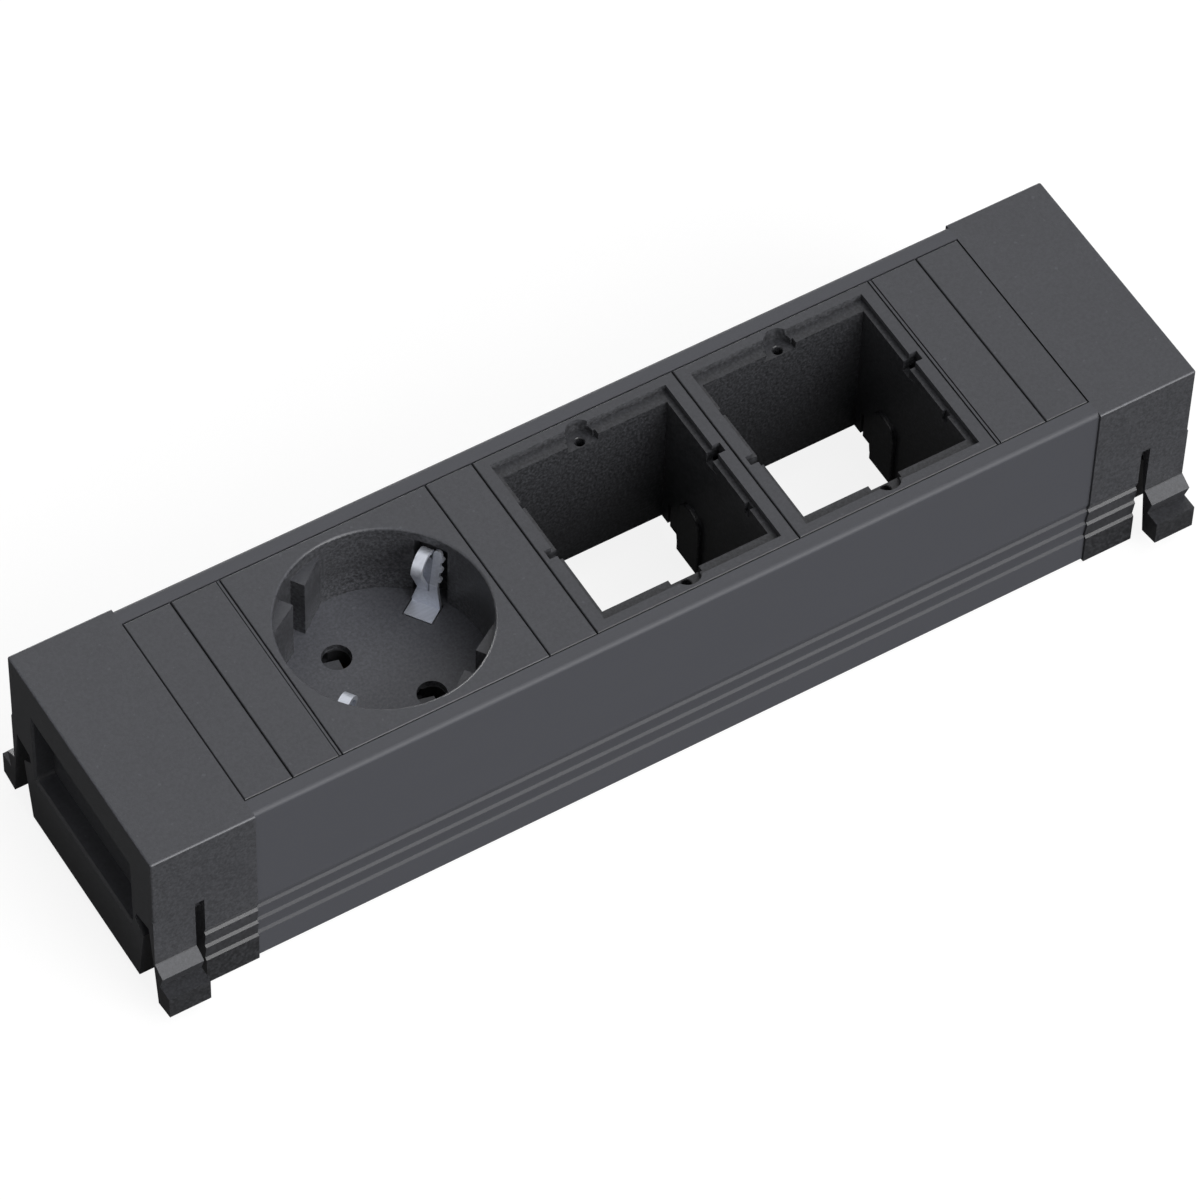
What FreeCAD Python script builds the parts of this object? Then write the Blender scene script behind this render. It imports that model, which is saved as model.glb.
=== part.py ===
"""In-desk power module: two end caps, two rails and a row of snap-in inserts.

X runs along the row, the front rail faces -Y and the desk side is at the top, +Z.
The origin is at the bottom, in the middle of the part. All sizes are in millimetres.
"""
import FreeCAD, Part
import math
import os

Vec = FreeCAD.Vector

# Row of inserts
body_height = 44.0
insert_pitch = 42.5
insert_overhang = 0.85
insert_width = insert_pitch + 2 * insert_overhang
insert_half = insert_width / 2
blank_pitch = 9.85
narrow_blank_pitch = 9.3
edge_lip = 0.675
insert_gap = 0.2
row_end_gap = 0.1
plate_thickness = 2.2
plate_low = body_height - plate_thickness
plate_edge_radius = 0.25
plate_overlap = 0.5
lip_groove = 0.2
lip_drop = 0.12

# Side rails
rail_inset = 0.45
rail_flange = 3.4
rail_flange_gap = 0.25
rail_flange_thickness = 2.4
rail_wall = 2.1
rail_low = 0.5
rail_foot_lip = 0.6
rail_foot_thickness = 1.8
rail_edge_radius = 0.95
snap_rib_drop = 7.8
snap_rib_height = 1.2
snap_rib_high = body_height - snap_rib_drop
snap_rib_low = snap_rib_high - snap_rib_height
snap_rib_reach = 0.9

# Louvres along both long sides
louvre_count = 3
louvre_top_z = 15.0
louvre_pitch = 4.0
louvre_depth = 0.5
louvre_rise = 0.4
louvre_lead = 2.1

# End caps
cap_length = 21.0
cap_width = insert_width + 2 * (rail_flange_gap + rail_flange + rail_inset)
half_cap = cap_width / 2
cap_wall = 1.8
cap_top_wall = 2.4
cap_edge_radius = 0.45
pocket_side_margin = 8.2
pocket_low = 16.0
pocket_drop = 9.5
pocket_high = body_height - pocket_drop
pocket_depth = 4.0
pocket_wall = 1.6
pocket_corner_radius = 1.2
pocket_chamfer = 0.45
trough_inset_top = 4.1
trough_inset_bottom = 6.3
trough_inset_step = 6.9
trough_half_top = half_cap - trough_inset_top
trough_half_bottom = half_cap - trough_inset_bottom
trough_low = 2.3
trough_shoulder_z = 17.2
trough_step_half = half_cap - trough_inset_step
trough_step_z = 19.7
trough_corner = 0.3
shelf_low = 21.6
shelf_high = 24.2
arm_length = 8.4
arm_slot = 1.9
arm_root_z = 26.4
arm_fillet_rise = 0.9
barb_z = 12.0
barb_reach = 2.7
barb_ramp = 1.5
barb_back = 1.0
lip_back_z = 8.9
foot_top_z = 8.5
foot_low_z = 3.0
foot_reach = 4.9
foot_heel_z = 2.2
foot_heel_reach = 0.7
foot_inner_reach = -0.4
slot_web = 1.6
slot_web_low = 0.3

# Rails and inserts as placed in the row
rail_face = half_cap - rail_inset
rail_inner = rail_face - louvre_depth - rail_wall

# Snap legs of the inserts
leg_thickness = 1.7
leg_drop = 11.0
leg_bottom = body_height - leg_drop
leg_hook = 0.8
hook_land = 1.4
hook_slope = 1.0
snap_clearance = 0.1
blank_leg_margin = 0.6
socket_leg_margin = 2.5

# Tongues of the caps, pushed into the rails
tongue_length = 8.0
tongue_thickness = 1.9
tongue_low = 5.0
tongue_high = 17.0
tongue_chamfer = 0.6
tongue_root = 5.5
tongue_clearance = 0.1

# Open cell frames
cell_plate = 3.6
cell_rim = 3.8
cell_half = insert_pitch / 2 - cell_rim
cell_wall = 1.5
step_rim_x = 2.65
step_rim_y = 2.07
step_half_x = insert_pitch / 2 - step_rim_x
step_half_y = insert_half - step_rim_y
step_depth = 1.5
cell_long_wall = 35.6
cell_side_wall = 37.6
side_tab_margin = 5.45
cell_long_wall_low = body_height - cell_long_wall
cell_side_wall_low = body_height - cell_side_wall
side_tab_half = cell_half - side_tab_margin
side_tab_slope = 0.3
slit_margin = 2.55
slit_length = 5.9
module_boss_margin = 3.45
slit_offset = cell_half - slit_margin
slit_width = 0.8
slit_high = cell_long_wall_low + slit_length
module_boss_offset = -0.45
module_boss_y = insert_half - module_boss_margin
module_boss_half = 3.2
module_boss_depth = 3.2
module_boss_length = 9.0
boss_recess_radius = 2.7
module_hole_radius = 0.95
module_hole_depth = 7.5
module_hole_chamfer = 0.15
cell_leg_start = 3.0
cell_leg_margin = 1.0
rim_notch_y = 2.6
rim_notch_width = 2.15
rim_notch_depth = 4.2
rim_notch_reach = 1.55
ledge_gap_y = -10.4
ledge_gap_width = 1.6
ledge_gap_depth = 0.75
pad_offset = 7.25
pad_radius = 3.65
pad_drop = 21.9
pad_apex_z = body_height - pad_drop
pad_height = 0.9
pad_edge_radius = 0.35
catch_width = 1.3
catch_drop = 2.6
catch_height = 2.0
catch_reach = 0.5

# Socket: pin direction is turned from the row by this angle
pin_turn = -55.3
well_rim_margin = 1.4
well_radius = insert_pitch / 2 - well_rim_margin
well_wall = 1.15
well_depth = 17.5
floor_top = body_height - well_depth
well_floor = 1.4
floor_low = floor_top - well_floor
well_rim_radius = 0.5
pin_spacing = 19.0
pin_hole_radius = 2.85
guide_half_gap = 2.4
guide_reach = 2.95
guide_face = well_radius - guide_reach
guide_draft = 0.45
guide_length = 7.3
guide_drop = 3.0
clip_slot_width = 6.8
clip_slot_recess = 2.35
clip_slot_back = well_radius + clip_slot_recess
clip_slot_drop = 2.3
clip_slot_high = body_height - clip_slot_drop
clip_slot_wall = 1.1

# Shutter under the well floor
screw_pin_offset = 6.8
screw_inset = 4.05
screw_earth_offset = well_radius - screw_inset
screw_boss_radius = 3.0
boss_clearance = 0.2
shutter_travel = 4.0
shutter_gap = 0.3
shutter_high = floor_low - shutter_gap
shutter_thickness = 1.5
shutter_low = shutter_high - shutter_thickness
shutter_half = 12.6
chamber_clearance = 0.3
chamber_low = shutter_low - chamber_clearance
chamber_wall = 0.9
chamber_back = -(screw_earth_offset - screw_boss_radius - chamber_wall)
shutter_bar = 4.2
shutter_bar_back = chamber_back + chamber_clearance + shutter_travel
shutter_bar_front = shutter_bar_back + shutter_bar
tongue_half = 3.2
tongue_straight = 1.4
tongue_point = 2.8
tongue_shoulder = shutter_bar_front + tongue_straight
tongue_tip = tongue_shoulder + tongue_point
spring_strip = 0.25
spring_half = 10.5
spring_clearance = 0.05
spring_end_gap = 0.15
spring_edge_gap = 0.1

# Earth bracket, one bent strip
strip = 0.8
strip_clearance = 0.4
clip_width = 5.6
clip_foot_inset = 5.75
clip_inset = 1.45
strap_drop = 1.5
clip_foot_start = well_radius - clip_foot_inset
clip_back = well_radius - clip_inset
strap_z = chamber_low - strap_drop
floor_slot_clearance = 0.25
bow_inset = 2.25
bow_clearance = 0.25
bow_radius = 3.1
bow_centre = well_radius - bow_inset
bow_centre_z = clip_slot_high - bow_clearance - bow_radius
bow_tail = 1.2
bow_from = -1.65
bow_to = 0.45
neck_height = 4.4
neck_taper = 1.2
bow_leg_z = floor_top + neck_height
neck_top_z = bow_leg_z + neck_taper
tab_from = 0.7
tab_to = 2.3
tab_knee_height = 6.4
tab_knee_z = floor_top + tab_knee_height
tab_clearance = 0.5
tab_top_z = clip_slot_high - tab_clearance
tab_lean = 13.0
tooth_radius = 0.55
tooth_count = 3
tooth_top_drop = 1.0
tooth_pitch = 2.4
earth_foot_start = 4.2
earth_foot_length = 5.4
earth_foot_thickness = 1.8
earth_foot_inset = 0.4

# Socket base, contacts and rear cover
base_overhang = 0.95
base_height = 17.5
base_radius = well_radius + base_overhang
base_low = floor_low - base_height
cover_thickness = 2.2
cover_low = base_low - cover_thickness
cover_edge_radius = 0.5
guide_floor = 1.6
guide_floor_low = chamber_low - guide_floor
guide_hole_radius = 2.6
contact_pocket = 8.6
contact_block = 7.8
contact_block_height = 6.3
leaf_thickness = 0.6
leaf_half_width = 2.6
leaf_gap = 0.3
leaf_top = guide_floor_low - leaf_gap
leaf_mouth_height = 2.8
leaf_root_height = 2.0
leaf_root_half = 3.3
leaf_throat_half = 2.2
leaf_mouth_half = 3.5
wire_radius = 1.6
wire_height = 4.0
wire_z = base_low + wire_height
wire_entry_radius = 2.0
screw_radius = 1.45
screw_fit = 0.05
screw_play = 0.25
screw_boss_length = 8.1
screw_boss_low = floor_low - screw_boss_length
boss_hole_cover = 0.6
head_way_depth = 3.4
screw_shoulder = base_low + head_way_depth
screw_tip_gap = 0.3
cover_screw_bite = 7.0
head_radius = 2.6
head_height = 2.0
head_clearance = 0.4
recess_width = 0.7
recess_depth = 1.0
terminal_screw_length = 4.2

# Cable clamp in the left cap
outlet_radius = 4.5
outlet_from_end = cap_length * 3 / 7
knockout_depth = 0.8
knockout_width = 0.6
clamp_from_end = cap_length * 16 / 21
clamp_width = 6.0
clamp_spread = 9.5
clamp_boss_radius = 3.7
clamp_boss_height = 4.0
clamp_ear = 2.6
clamp_cable_radius = 3.6
clamp_wall = 2.2
clamp_screw_tip_gap = 0.2
clamp_blind_cover = 0.5
saddle_height = 1.6
saddle_share = 0.4

# Length of the row and of the whole part
row_length = 3 * insert_pitch + 3 * blank_pitch + 2 * narrow_blank_pitch + 2 * edge_lip
part_length = row_length + 2 * cap_length
half_row = row_length / 2
far = 200.0


def block(x0, x1, y0, y1, z0, z1):
    return Part.makeBox(x1 - x0, y1 - y0, z1 - z0, Vec(x0, y0, z0))


def drum(x, y, z0, z1, radius):
    return Part.makeCylinder(radius, z1 - z0, Vec(x, y, z0))


def prism(points, axis, start, end):
    """Straight prism of an outline of point pairs, along X, Y or Z."""
    if axis == "X":
        corners = [Vec(start, a, b) for a, b in points]
        push = Vec(end - start, 0, 0)
    elif axis == "Y":
        corners = [Vec(a, start, b) for a, b in points]
        push = Vec(0, end - start, 0)
    else:
        corners = [Vec(a, b, start) for a, b in points]
        push = Vec(0, 0, end - start)
    return Part.Face(Part.makePolygon(corners + corners[:1])).extrude(push)


def fuse(shapes):
    return shapes[0].multiFuse(shapes[1:]).removeSplitter()


def cut(shape, tools):
    return shape.cut(Part.makeCompound(tools))


def moved(shape, x=0.0, y=0.0, z=0.0):
    result = shape.copy()
    result.translate(Vec(x, y, z))
    return result


def turned(shape, degrees):
    result = shape.copy()
    result.rotate(Vec(0, 0, 0), Vec(0, 0, 1), degrees)
    return result


def mirrored_y(shape):
    return shape.mirror(Vec(0, 0, 0), Vec(0, 1, 0))


def both_sides(shape):
    """A shape and its mirror image across the row's middle plane."""
    return [shape, mirrored_y(shape)]


def half_turned(shape):
    return [shape, turned(shape, 180)]


def rounded(shape, radius, pick):
    edges = [edge for edge in shape.Edges if pick(edge)]
    return shape.makeFillet(radius, edges)


def lies_at(edge, axis, value):
    box = edge.BoundBox
    low, high = {"X": (box.XMin, box.XMax), "Y": (box.YMin, box.YMax), "Z": (box.ZMin, box.ZMax)}[axis]
    return abs(low - value) < 1e-6 and abs(high - value) < 1e-6


def louvred_outline(face, start_z, low_z):
    """Outer side of a wall from the top down: lips level with the face, roots set back from them."""
    points = [(face, start_z), (face, louvre_top_z + louvre_lead)]
    for number in range(louvre_count):
        lip_z = louvre_top_z - number * louvre_pitch
        points.append((face - louvre_depth, lip_z + louvre_rise))
        points.append((face, lip_z))
    points.append((face, low_z))
    return points


def screw(length):
    """Pan head screw with a cross recess, its head's seat at z 0 and its tip at z length."""
    shank = drum(0, 0, -0.1, length - screw_radius, screw_radius)
    tip = Part.makeCone(screw_radius, screw_radius * 0.5, screw_radius, Vec(0, 0, length - screw_radius))
    head = drum(0, 0, -head_height, 0, head_radius)
    head = rounded(head, head_height * 0.3, lambda edge: lies_at(edge, "Z", -head_height))
    half = recess_width / 2
    reach = head_radius * 0.6
    slots = [
        block(-reach, reach, -half, half, -head_height - 1, -head_height + recess_depth),
        block(-half, half, -reach, reach, -head_height - 1, -head_height + recess_depth),
    ]
    return cut(fuse([shank, tip, head]), slots)


def snap_legs(spans):
    """Legs under an insert that click over the rails' ribs, for each span of X, on both sides."""
    outer = insert_half
    hook = outer + leg_hook
    inner = outer - leg_thickness
    rib_top = snap_rib_high + snap_clearance
    rib_low = snap_rib_low - snap_clearance
    outline = [
        (inner, plate_low + plate_overlap), (outer, plate_low + plate_overlap),
        (outer, rib_top + hook_land + hook_slope), (hook, rib_top + hook_land), (hook, rib_top),
        (outer, rib_top), (outer, rib_low),
        (hook, rib_low), (outer, leg_bottom), (inner, leg_bottom),
    ]
    legs = []
    for x0, x1 in spans:
        legs += both_sides(prism(outline, "X", x0, x1))
    return legs


def plate(x0, x1, thickness):
    """Top plate of an insert with softened upper edges."""
    body = block(x0, x1, -insert_half, insert_half, body_height - thickness, body_height)
    return rounded(body, plate_edge_radius, lambda edge: lies_at(edge, "Z", body_height))


def blank_insert(start, width, lip_side):
    """Blank cover strip; lip_side is -1 or 1 where it carries an edge lip, else 0."""
    x0 = start + insert_gap / 2
    x1 = start + width - insert_gap / 2
    legs = snap_legs([(x0 + blank_leg_margin, x1 - blank_leg_margin)])
    body = fuse([plate(x0, x1, plate_thickness)] + legs)
    if not lip_side:
        return body
    edge = x1 if lip_side > 0 else x0
    inner = edge - lip_side * edge_lip
    groove = block(
        min(inner, inner + lip_side * lip_groove), max(inner, inner + lip_side * lip_groove),
        -far, far, body_height - 3 * lip_groove, body_height + 1)
    step = block(
        min(inner, edge) - 0.01, max(inner, edge) + 0.01, -far, far, body_height - lip_drop, body_height + 1)
    return cut(body, [groove, step])


def cell_frame(centre):
    """Open frame for a snap-in module: stepped mouth, four walls and two screw bosses."""
    half_plate = insert_pitch / 2 - insert_gap / 2
    half = cell_half
    outer = half + cell_wall
    top = plate(-half_plate, half_plate, cell_plate)
    long_wall = block(-outer, outer, half, outer, cell_long_wall_low, body_height - step_depth)
    side_wall = prism(
        [(-outer, body_height - step_depth), (-outer, cell_long_wall_low),
         (-side_tab_half - side_tab_slope, cell_long_wall_low), (-side_tab_half, cell_side_wall_low),
         (side_tab_half, cell_side_wall_low), (side_tab_half + side_tab_slope, cell_long_wall_low),
         (outer, cell_long_wall_low), (outer, body_height - step_depth)],
        "X", half, outer)
    boss_top = body_height - module_boss_depth
    boss = block(
        module_boss_offset - module_boss_half, module_boss_offset + module_boss_half,
        half, module_boss_y + module_boss_half, boss_top - module_boss_length, boss_top)
    pad = fuse([
        prism([(pad_offset - pad_radius, cell_side_wall_low), (pad_offset + pad_radius, cell_side_wall_low),
               (pad_offset + pad_radius, pad_apex_z - pad_radius),
               (pad_offset - pad_radius, pad_apex_z - pad_radius)], "X", half - pad_height, half),
        Part.makeCylinder(pad_radius, pad_height, Vec(half - pad_height, pad_offset, pad_apex_z - pad_radius),
                          Vec(1, 0, 0)),
    ])
    pad = rounded(pad, pad_edge_radius, lambda edge: (
        lies_at(edge, "X", half - pad_height) and edge.BoundBox.ZLength > 1))
    catch_y = rim_notch_y - rim_notch_width / 2 - catch_width
    catch_top = body_height - catch_drop
    catch = prism(
        [(half - catch_reach, catch_top), (half + 0.2, catch_top), (half + 0.2, catch_top - catch_height)],
        "Y", catch_y, catch_y + catch_width)
    leg_start = module_boss_half + cell_leg_start
    leg_end = outer - cell_leg_margin
    leg_spans = [(-leg_end, -leg_start), (leg_start, leg_end)]
    body = [top]
    body += both_sides(long_wall) + half_turned(side_wall) + both_sides(boss)
    body += half_turned(pad) + half_turned(catch) + snap_legs(leg_spans)
    frame = fuse(body)

    above = body_height + 1
    mouth = block(-half, half, -half, half, boss_top - 0.5, above)
    step = block(-step_half_x, step_half_x, -step_half_y, step_half_y, body_height - step_depth, above)
    recess = drum(module_boss_offset, module_boss_y, boss_top, above, boss_recess_radius)
    relief = block(
        module_boss_offset - module_boss_half, module_boss_offset + module_boss_half,
        half - 1, module_boss_y, boss_top, above)
    hole = drum(module_boss_offset, module_boss_y, boss_top - module_hole_depth, above, module_hole_radius)
    funnel = Part.makeCone(
        module_hole_radius, module_hole_radius + module_hole_chamfer, module_hole_chamfer,
        Vec(module_boss_offset, module_boss_y, boss_top - module_hole_chamfer))
    notch_half = rim_notch_width / 2
    notch = block(
        half - 0.01, step_half_x + rim_notch_reach, rim_notch_y - notch_half, rim_notch_y + notch_half,
        body_height - rim_notch_depth, above)
    ledge_gap = block(
        half - 0.01, half + ledge_gap_depth,
        ledge_gap_y - ledge_gap_width / 2, ledge_gap_y + ledge_gap_width / 2,
        body_height - cell_plate - 0.5, above)
    slit = block(
        half - 0.01, outer + 0.01, slit_offset - slit_width / 2, slit_offset + slit_width / 2, 0, slit_high)
    cutters = [mouth, step]
    cutters += both_sides(recess) + both_sides(relief) + both_sides(hole) + both_sides(funnel)
    cutters += half_turned(notch) + half_turned(ledge_gap)
    cutters += half_turned(slit) + half_turned(mirrored_y(slit))
    return moved(cut(frame, cutters), x=centre)


def in_socket(shape, centre):
    """Place a shape whose X is the pin direction and whose Y is the earth direction."""
    return moved(turned(shape, pin_turn), x=centre)


def guide_rib():
    """One of the four ribs that guide a plug, beside the end of the pin axis."""
    outline = [
        (guide_face, guide_half_gap), (well_radius + 0.5, guide_half_gap),
        (well_radius + 0.5, guide_half_gap + guide_length),
        (guide_face + guide_draft, guide_half_gap + guide_length),
    ]
    rib = prism(outline, "Z", floor_top - 0.2, body_height - guide_drop)
    return rib.common(drum(0, 0, 0, body_height, well_radius + 0.5))


def socket_insert():
    """Plate with the round well, built about the well's own axis in the row's directions."""
    half_plate = insert_pitch / 2 - insert_gap / 2
    limits = block(-half_plate, half_plate, -insert_half, insert_half, 0, body_height)
    top = plate(-half_plate, half_plate, plate_thickness)
    tube = drum(0, 0, floor_low, plate_low + plate_overlap, well_radius + well_wall)
    slot_half = clip_slot_width / 2
    housing = block(
        -slot_half - clip_slot_wall, slot_half + clip_slot_wall,
        well_radius - 0.5, clip_slot_back + clip_slot_wall, floor_low, plate_low + 0.2)
    boss = drum(screw_pin_offset, screw_earth_offset, screw_boss_low, floor_low + 0.5, screw_boss_radius)
    around = [turned(item, pin_turn) for item in half_turned(housing) + half_turned(boss)]
    under = fuse([tube] + around).common(limits)
    side_x = well_radius * 0.45
    leg_end = half_plate - socket_leg_margin
    spans = [(-leg_end, -side_x), (side_x, leg_end)]
    body = fuse([top, under] + snap_legs(spans))

    well = drum(0, 0, floor_top, body_height + 1, well_radius)
    body = cut(body, [well])
    body = rounded(body, well_rim_radius, lambda edge: (
        lies_at(edge, "Z", body_height) and edge.Curve.TypeId == "Part::GeomCircle"
        and abs(edge.Curve.Radius - well_radius) < 1e-6))
    ribs = half_turned(guide_rib()) + half_turned(mirrored_y(guide_rib()))
    body = fuse([body] + [turned(rib, pin_turn) for rib in ribs])

    pin = drum(pin_spacing / 2, 0, 0, body_height, pin_hole_radius)
    clip_half = clip_width / 2 + floor_slot_clearance
    wall_slot = block(-slot_half, slot_half, well_radius - 1.5, clip_slot_back, floor_top, clip_slot_high)
    floor_slot = block(
        -clip_half, clip_half, clip_foot_start - floor_slot_clearance, clip_back + floor_slot_clearance,
        0, floor_top + 0.01)
    boss_hole = drum(
        screw_pin_offset, screw_earth_offset, screw_boss_low - 1, floor_low - boss_hole_cover,
        screw_radius + screw_fit)
    cutters = []
    for tool in (pin, wall_slot, floor_slot, boss_hole):
        cutters += [turned(item, pin_turn) for item in half_turned(tool)]
    return cut(body, cutters)


def bow_lobe():
    """Sprung half of the clip: the strip rises from the neck, bows over and ends behind itself."""
    front = bow_centre - bow_radius
    back = bow_centre + bow_radius
    foot = Vec(bow_from, bow_centre, bow_centre_z)
    ring = Part.makeCylinder(bow_radius, bow_to - bow_from, foot, Vec(1, 0, 0))
    core = Part.makeCylinder(bow_radius - strip, bow_to - bow_from, foot, Vec(1, 0, 0))
    bow = ring.cut(core).common(block(-far, far, 0, far, bow_centre_z, far))
    leg = prism(
        [(front, bow_centre_z), (front + strip, bow_centre_z), (clip_back, bow_leg_z),
         (clip_back - strip, bow_leg_z)], "X", bow_from, bow_to)
    tail = block(bow_from, bow_to, back - strip, back, bow_centre_z - bow_tail, bow_centre_z)
    return [bow, leg, tail]


def toothed_tab():
    """Stiff half of the clip: a strip with teeth on one edge, leaning back from its knee."""
    round_top = (tab_to - tab_from) / 2
    middle = (tab_to + tab_from) / 2
    top = tab_top_z - round_top
    pieces = [block(tab_from, tab_to, clip_back - strip, clip_back, tab_knee_z, top)]
    pieces.append(Part.makeCylinder(round_top, strip, Vec(middle, clip_back - strip, top), Vec(0, 1, 0)))
    for number in range(tooth_count):
        place = Vec(tab_to, clip_back - strip, top - tooth_top_drop - number * tooth_pitch)
        pieces.append(Part.makeCylinder(tooth_radius, strip, place, Vec(0, 1, 0)))
    leaning = fuse(pieces)
    leaning.rotate(Vec(0, clip_back - strip, tab_knee_z), Vec(1, 0, 0), -tab_lean)
    root = block(tab_from, tab_to, clip_back - strip, clip_back, bow_leg_z - strip, tab_knee_z + strip * 0.2)
    return [leaning, root]


def earth_clip():
    """One spring clip of the bracket, on the +Y side: foot, neck, bowed lobe and toothed tab."""
    half = clip_width / 2
    riser = block(-half, half, clip_foot_start, clip_foot_start + strip, strap_z, floor_top)
    foot = block(-half, half, clip_foot_start, clip_back, floor_top - strip, floor_top)
    neck = prism(
        [(-half, floor_top - strip), (half, floor_top - strip), (half, floor_top + strip),
         (tab_to, neck_top_z), (tab_from, neck_top_z), (tab_from, bow_leg_z), (bow_to, bow_leg_z),
         (bow_to, neck_top_z - strip), (bow_from, neck_top_z - strip), (-half, floor_top + strip)],
        "Y", clip_back - strip, clip_back)
    return fuse([riser, foot, neck] + bow_lobe() + toothed_tab())


def earth_bracket():
    """Strap under the shutter, a clip at each end and a foot for the earth screw."""
    half = clip_width / 2
    strap = block(-half, half, -clip_foot_start - strip, clip_foot_start + strip, strap_z, strap_z + strip)
    foot_low = base_low
    tab_half = half - earth_foot_inset
    tab = block(-tab_half, tab_half, earth_foot_start, earth_foot_start + strip, foot_low, strap_z + strip)
    foot = block(
        -tab_half, tab_half, earth_foot_start, earth_foot_start + earth_foot_length,
        foot_low, foot_low + earth_foot_thickness)
    body = fuse([strap, tab, foot] + half_turned(earth_clip()))
    thread_end = foot_low + earth_foot_thickness + 0.5
    thread = drum(0, earth_screw_y(), foot_low - 1, thread_end, screw_radius + screw_fit)
    return cut(body, [thread])


def earth_screw_y():
    return earth_foot_start + earth_foot_length / 2 + strip / 2


def contact():
    """Screw terminal block with two sprung leaves that grip a plug pin."""
    low = base_low
    top = low + contact_block_height
    half = contact_block / 2
    body = block(-half, half, -half, half, low, top)
    throat_z = leaf_top - leaf_mouth_height
    root_z = top + leaf_root_height
    leaf = prism(
        [(leaf_root_half, top - 0.5), (leaf_root_half + leaf_thickness, top - 0.5),
         (leaf_root_half + leaf_thickness, root_z), (leaf_throat_half + leaf_thickness, throat_z),
         (leaf_mouth_half + leaf_thickness, leaf_top), (leaf_mouth_half, leaf_top),
         (leaf_throat_half, throat_z), (leaf_root_half, root_z)],
        "X", -leaf_half_width, leaf_half_width)
    body = fuse([body, leaf, mirrored_y(leaf)])
    wire = Part.makeCylinder(wire_radius, 2 * half + 2, Vec(-half - 1, 0, wire_z), Vec(1, 0, 0))
    thread = drum(0, 0, low - 1, wire_z, screw_radius + screw_fit)
    return cut(body, [wire, thread])


def shutter():
    """Sliding shutter: a bar with two pointed tongues that close the pin holes."""
    body = block(-shutter_half, shutter_half, shutter_bar_back, shutter_bar_front, shutter_low, shutter_high)
    tongues = []
    for side in (-1, 1):
        centre = side * pin_spacing / 2
        outline = [
            (centre - tongue_half, shutter_bar_front - 0.2), (centre + tongue_half, shutter_bar_front - 0.2),
            (centre + tongue_half, tongue_shoulder), (centre, tongue_tip),
            (centre - tongue_half, tongue_shoulder),
        ]
        tongues.append(prism(outline, "Z", shutter_low, shutter_high))
    return fuse([body] + tongues)


def shutter_spring():
    """Bowed leaf between the chamber's end wall and the shutter's bar."""
    back = chamber_back + spring_end_gap
    front = shutter_bar_back - spring_clearance
    inner = Part.Arc(Vec(-spring_half, back, 0), Vec(0, front - spring_strip, 0), Vec(spring_half, back, 0))
    outer = Part.Arc(
        Vec(-spring_half, back + spring_strip, 0), Vec(0, front, 0), Vec(spring_half, back + spring_strip, 0))
    ends = [
        Part.makeLine(Vec(x, back, 0), Vec(x, back + spring_strip, 0))
        for x in (-spring_half, spring_half)
    ]
    outline = Part.Wire(Part.__sortEdges__([inner.toShape(), outer.toShape()] + ends))
    leaf = Part.Face(outline).extrude(Vec(0, 0, shutter_thickness - 2 * spring_edge_gap))
    return moved(leaf, z=shutter_low + spring_edge_gap)


def socket_base():
    """Moulded carrier below the well: shutter chamber, contact pockets and strap groove."""
    body = drum(0, 0, base_low, floor_low, base_radius)
    chamber = block(
        -shutter_half - chamber_clearance, shutter_half + chamber_clearance,
        chamber_back, tongue_tip + chamber_clearance, chamber_low, far)
    at_pin = pin_spacing / 2
    half_pocket = contact_pocket / 2
    pocket = block(
        at_pin - half_pocket, at_pin + half_pocket, -half_pocket, half_pocket, -far, guide_floor_low)
    guide_hole = drum(at_pin, 0, guide_floor_low - 0.1, far, guide_hole_radius)
    groove_half = clip_width / 2 + strip_clearance
    groove_end = clip_foot_start + strip + strip_clearance
    groove_low = strap_z - 0.1
    groove = block(-groove_half, groove_half, -groove_end, groove_end, groove_low, chamber_low + 0.01)
    riser_slot = block(
        -groove_half, groove_half, clip_foot_start - strip_clearance, groove_end, groove_low, far)
    earth_pocket = block(
        -groove_half, groove_half, earth_foot_start - strip_clearance,
        earth_foot_start + earth_foot_length + strip_clearance, -far, strap_z)
    wire_way = Part.makeCylinder(wire_entry_radius, base_radius, Vec(at_pin, 0, wire_z), Vec(1, 0, 0))
    boss_pocket = drum(
        screw_pin_offset, screw_earth_offset, screw_boss_low - boss_clearance, far,
        screw_boss_radius + boss_clearance)
    through = drum(screw_pin_offset, screw_earth_offset, -far, far, screw_radius + screw_play)
    head_way = drum(screw_pin_offset, screw_earth_offset, -far, screw_shoulder, head_radius + head_clearance)
    blind = drum(
        -screw_pin_offset, screw_earth_offset, -far, base_low + cover_screw_bite + screw_tip_gap,
        screw_radius + screw_fit)
    cutters = [chamber, groove, earth_pocket]
    for tool in (pocket, guide_hole, riser_slot, wire_way, boss_pocket, through, head_way, blind):
        cutters += half_turned(tool)
    return cut(body, cutters)


def rear_cover():
    """Plate under the base with access to the terminal and holding screws."""
    body = drum(0, 0, cover_low, base_low, base_radius)
    body = rounded(body, cover_edge_radius, lambda edge: lies_at(edge, "Z", cover_low))
    access = head_radius + head_clearance
    cutters = [drum(0, earth_screw_y(), -far, far, access)]
    cutters += half_turned(drum(pin_spacing / 2, 0, -far, far, access))
    cutters += half_turned(drum(screw_pin_offset, screw_earth_offset, -far, far, access))
    cutters += half_turned(drum(-screw_pin_offset, screw_earth_offset, -far, far, screw_radius + screw_play))
    return cut(body, cutters)


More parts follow.
